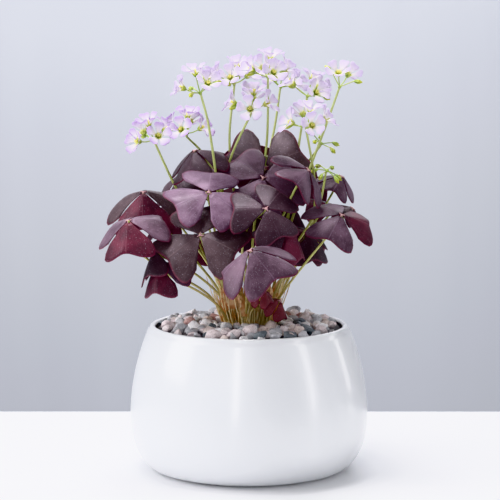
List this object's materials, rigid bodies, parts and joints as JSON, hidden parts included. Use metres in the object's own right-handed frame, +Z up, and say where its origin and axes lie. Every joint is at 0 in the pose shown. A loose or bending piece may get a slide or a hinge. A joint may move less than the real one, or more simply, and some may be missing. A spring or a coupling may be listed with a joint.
{
  "type": "potted purple shamrock plant",
  "caption": "Potted purple shamrock in flower: dark trefoil leaves and pale lilac umbels on slender stalks, in a round white glazed bowl pot topped with gravel",
  "frame": {"origin": "centre of the underside of the pot's foot", "axes": "+Z up, -Y towards the viewer of the picture, +X to the picture's right"},
  "size_m": [0.2123, 0.2267, 0.3359],
  "materials": {
    "glaze": "glossy white glaze",
    "soil": "dark damp potting soil, grainy and matt; wood stands in for light, peaty soil",
    "gravel": "mixed small pebbles, grey, pinkish white, slate blue and tan",
    "stalk": "soft living stalks, yellow green, straw coloured at the foot; leather stands in for plant tissue",
    "leaf": "dark greyish purple leaf with a dull sheen, crimson below; leather stands in for plant tissue",
    "young_leaf": "young crimson leaf with a dull sheen; leather stands in for plant tissue",
    "petal": "thin pale lilac petals with green stems and throats; leather stands in for plant tissue"
  },
  "bodies": {
    "root": {"gravel": "gravel", "leaf_back_a": "leaf", "leaf_back_b": "leaf", "leaf_back_c": "leaf", "leaf_back_d": "leaf", "leaf_back_e": "leaf", "leaf_back_f": "leaf", "leaf_back_g": "leaf", "leaf_front_a": "leaf", "leaf_front_b": "leaf", "leaf_front_c": "leaf", "leaf_front_d": "leaf", "leaf_front_e": "leaf", "leaf_front_f": "leaf", "leaf_front_g": "leaf", "leaf_left_a": "leaf", "leaf_left_b": "leaf", "leaf_left_c": "leaf", "leaf_left_d": "leaf", "leaf_left_e": "leaf", "leaf_right_a": "leaf", "leaf_right_b": "leaf", "leaf_right_c": "leaf", "leaf_right_d": "leaf", "leaf_right_e": "leaf", "leaf_top_a": "leaf", "leaf_top_b": "leaf", "leaf_top_c": "leaf", "leaf_top_d": "leaf", "leaf_young_a": "young_leaf", "leaf_young_b": "young_leaf", "pot": "glaze", "soil": "soil", "tuft_0": "stalk", "tuft_1": "stalk", "tuft_2": "stalk", "tuft_3": "stalk", "tuft_4": "stalk", "tuft_5": "stalk", "tuft_6": "stalk", "umbel_left_a": "petal", "umbel_left_b": "petal", "umbel_right_a": "petal", "umbel_right_b": "petal", "umbel_right_c": "petal", "umbel_spent_a": "petal", "umbel_spent_b": "petal", "umbel_top_a": "petal", "umbel_top_b": "petal", "umbel_top_c": "petal", "umbel_top_d": "petal", "umbel_top_e": "petal"}
  },
  "joints": []
}
